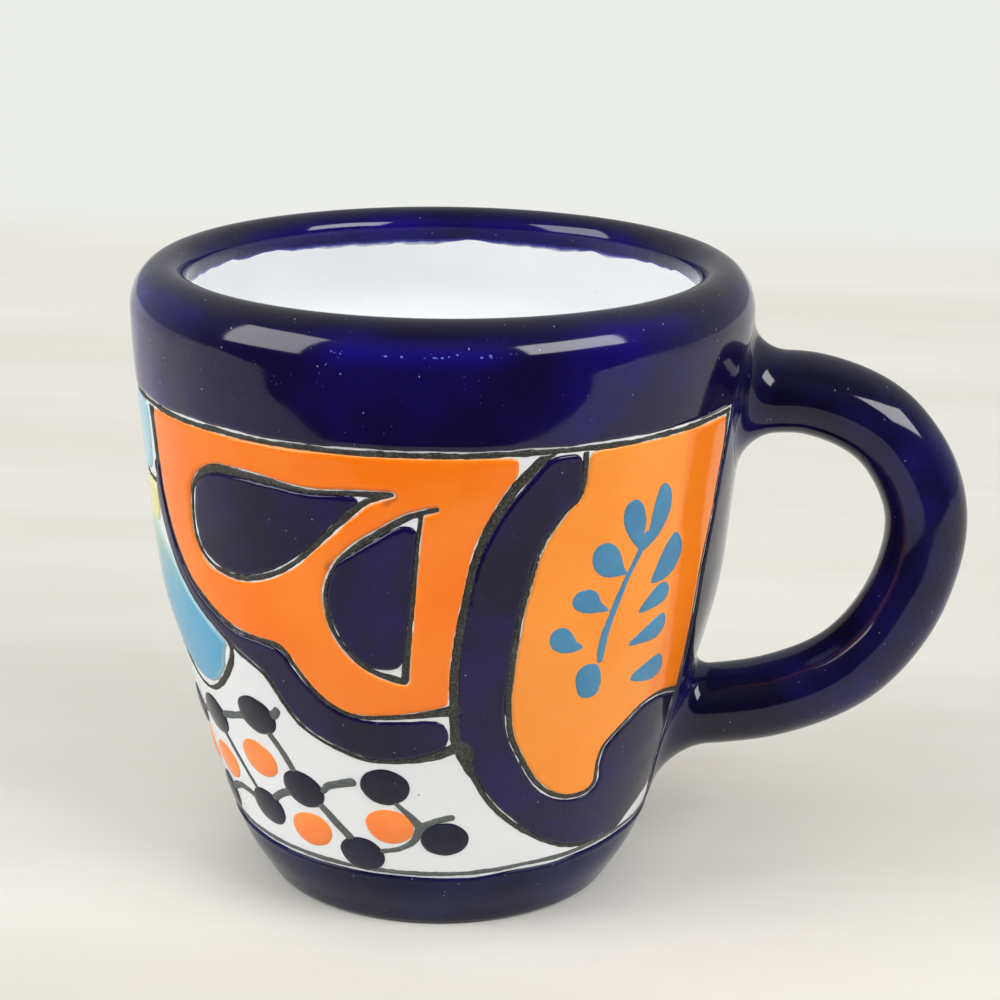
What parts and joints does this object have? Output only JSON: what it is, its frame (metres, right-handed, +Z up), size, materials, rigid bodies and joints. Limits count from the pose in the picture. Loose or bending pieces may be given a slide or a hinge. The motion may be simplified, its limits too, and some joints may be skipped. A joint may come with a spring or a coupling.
{
  "type": "glazed clay mug",
  "caption": "Round clay mug with a rolled lip, tapered wall and one loop handle, under a white tin glaze with cobalt bands and enamelled panels.",
  "frame": {"origin": "centre of the foot ring, on the surface that the mug stands on", "axes": "+Z up along the mug's axis, +X out through the handle, +Y to the left of the handle seen from above"},
  "size_m": [0.1206, 0.089, 0.092],
  "materials": {
    "fired_clay": "matte, bare only on the foot ring and under the foot",
    "slip": "matte",
    "white_glaze": "glossy tin glaze",
    "cobalt_glaze": "deep glossy",
    "cobalt_enamel": "glossy, thinner at the edges",
    "navy_enamel": "glossy, domed",
    "charcoal_line": "matte speckled line",
    "grey_line": "thin brushed line",
    "orange_enamel": "glossy",
    "amber_enamel": "glossy",
    "orange_dot_enamel": "glossy, domed",
    "teal_enamel": "glossy, raised",
    "turquoise_enamel": "glossy",
    "yellow_enamel": "glossy"
  },
  "bodies": {
    "root": {"clay_body": "fired_clay", "clay_handle": "fired_clay", "upper_handle_slip": "slip", "lower_handle_slip": "slip", "inside_white_glaze": "white_glaze", "outside_white_glaze": "white_glaze", "rim_glaze": "cobalt_glaze", "foot_glaze": "cobalt_glaze", "handle_glaze": "cobalt_glaze", "handle_field_glaze": "cobalt_glaze", "rim_line": "charcoal_line", "foot_line": "charcoal_line", "dark_outlines": "charcoal_line", "orange_panels": "orange_enamel", "amber_panels": "amber_enamel", "teardrops": "cobalt_enamel", "waves": "cobalt_enamel", "scrolls": "cobalt_enamel", "sprigs": "teal_enamel", "blue_dots": "navy_enamel", "orange_dots": "orange_dot_enamel", "lattice_lines": "grey_line", "flower_petals": "turquoise_enamel", "flower_hearts": "yellow_enamel", "flower_centre": "orange_dot_enamel"}
  },
  "joints": []
}
